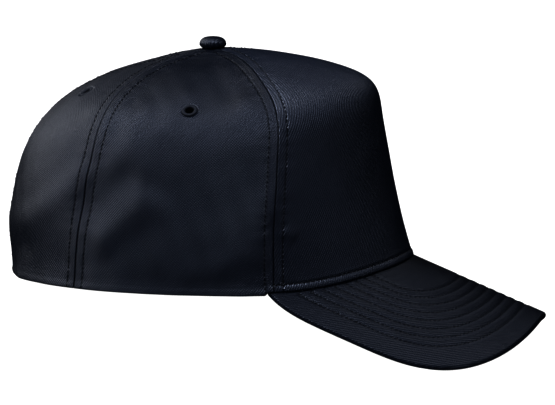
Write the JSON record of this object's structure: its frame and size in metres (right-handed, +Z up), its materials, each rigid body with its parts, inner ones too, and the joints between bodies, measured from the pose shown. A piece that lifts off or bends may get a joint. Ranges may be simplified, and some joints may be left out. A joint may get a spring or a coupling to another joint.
{
  "type": "five panel cap",
  "caption": "Navy cotton five panel cap with a stitched curved peak, covered top button and sewn eyelets.",
  "frame": {"origin": "middle of the cap's footprint, on the surface it rests on", "axes": "+X towards the front edge of the peak, +Y towards the wearer's left, +Z up"},
  "size_m": [0.273, 0.1652, 0.1344],
  "materials": {
    "cotton_twill": "matt, fine diagonal weave",
    "sewing_thread": "matt thread with a slight sheen"
  },
  "bodies": {
    "root": {"front_panel": "cotton_twill", "side_panel_right": "cotton_twill", "side_panel_left": "cotton_twill", "back_panel_right": "cotton_twill", "back_panel_left": "cotton_twill", "peak": "cotton_twill", "button": "cotton_twill", "eyelet_side_right": "sewing_thread", "eyelet_side_left": "sewing_thread", "eyelet_back_right": "sewing_thread", "eyelet_back_left": "sewing_thread"}
  },
  "joints": []
}
